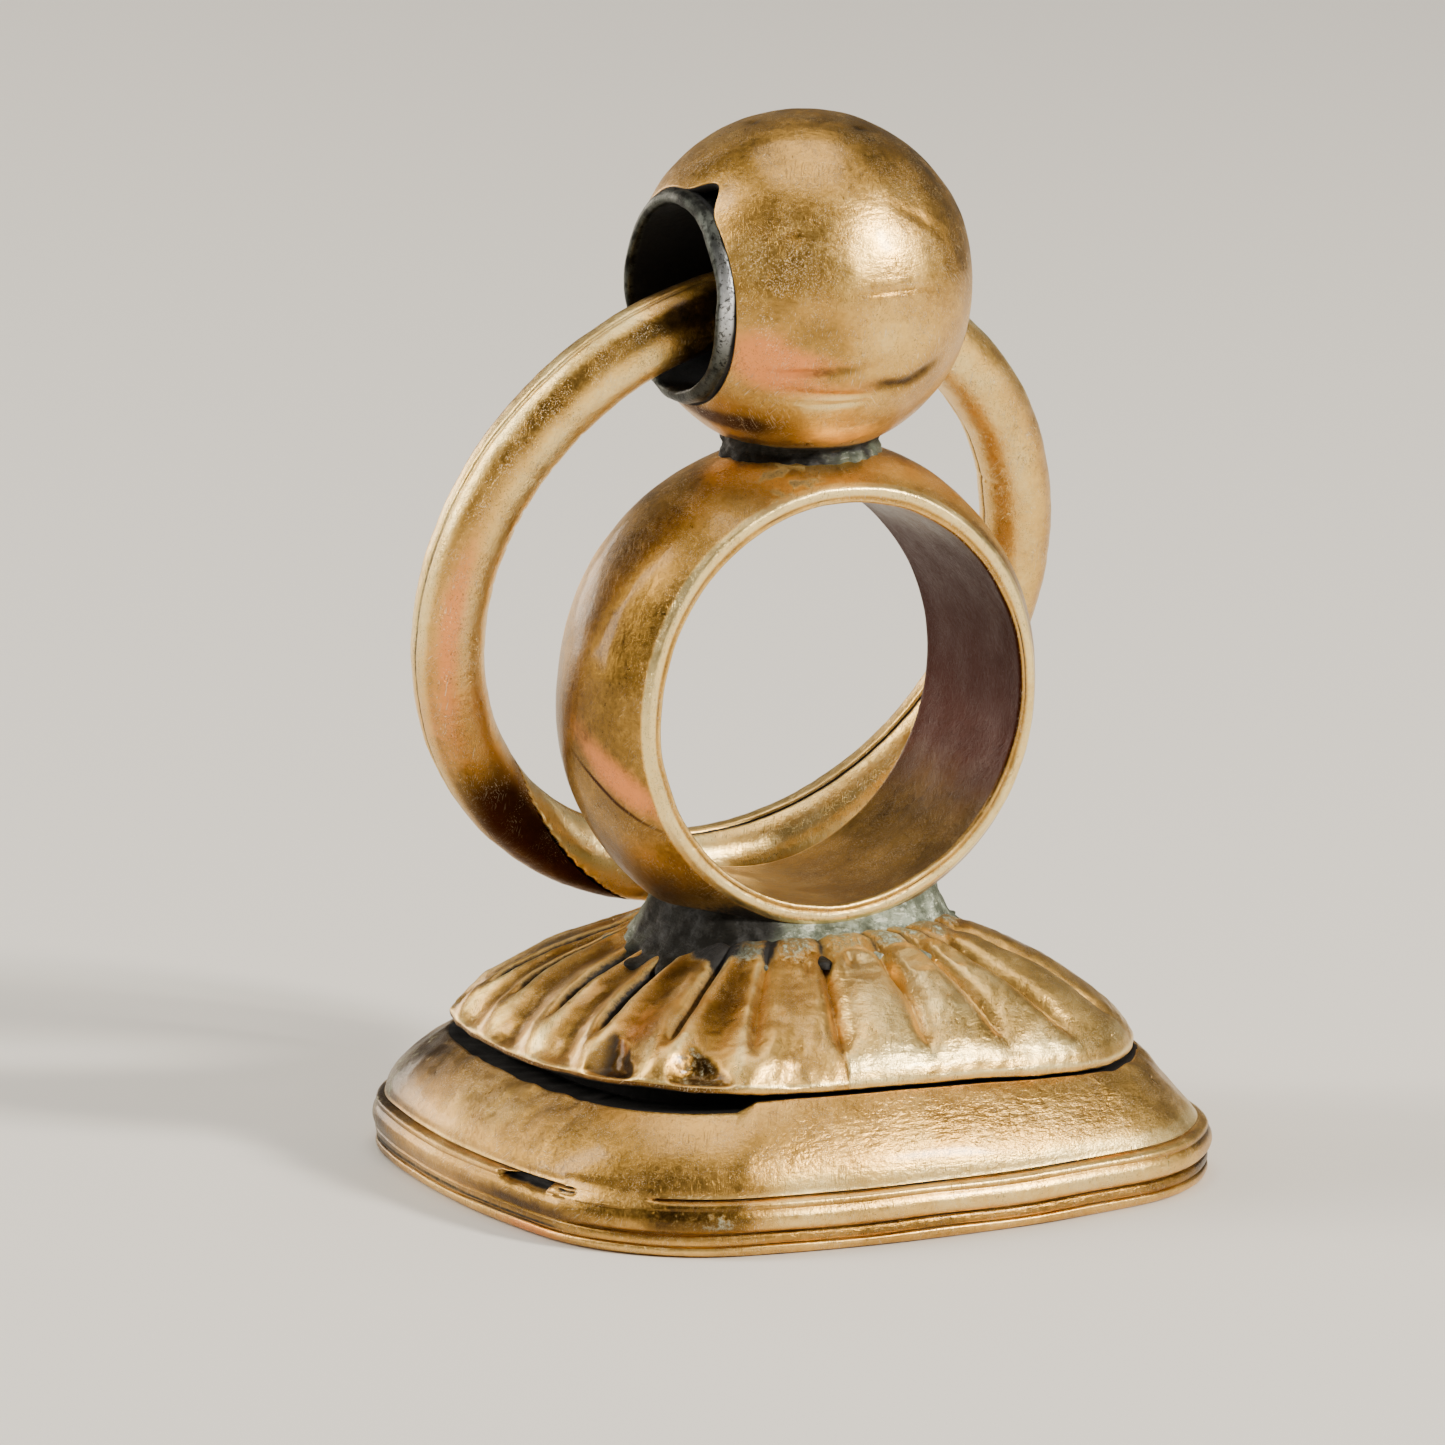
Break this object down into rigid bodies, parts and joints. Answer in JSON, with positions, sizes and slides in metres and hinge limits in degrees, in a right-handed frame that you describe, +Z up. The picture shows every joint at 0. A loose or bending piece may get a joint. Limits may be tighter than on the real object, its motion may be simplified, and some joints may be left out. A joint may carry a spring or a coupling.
{
  "type": "fob seal pendant",
  "caption": "Small hand seal for a watch fob: cushion foot with a carnelian face, fluted dome, barrel band, hollow ball with a lined bore, and a split ring that swings through it.",
  "frame": {"origin": "middle of the foot's underside, on the surface it stands on", "axes": "+Z up, X along the foot's long side and the ball's bore, Y along the band's axis, ring leaning towards +Y"},
  "size_m": [0.0208, 0.0186, 0.0284],
  "materials": {
    "carnelian": "polished translucent orange-red stone",
    "worn_gold": "worn gold casing, scratched, with tarnish in the hollows",
    "grey_lining": "dull silver-grey lining",
    "ring_gold": "satin worn gold wire"
  },
  "bodies": {
    "seal": {"stone": "carnelian", "base_frame": "worn_gold", "seal_top": "worn_gold", "bush": "grey_lining"},
    "ring": {"split_ring": "ring_gold"}
  },
  "joints": [
    {"name": "ring_swing", "type": "hinge", "parent": "seal", "child": "ring", "pos_m": [-0.0006, 0, 0.02346], "axis": [1, 0, 0], "range_deg": [0, 326.7]}
  ]
}
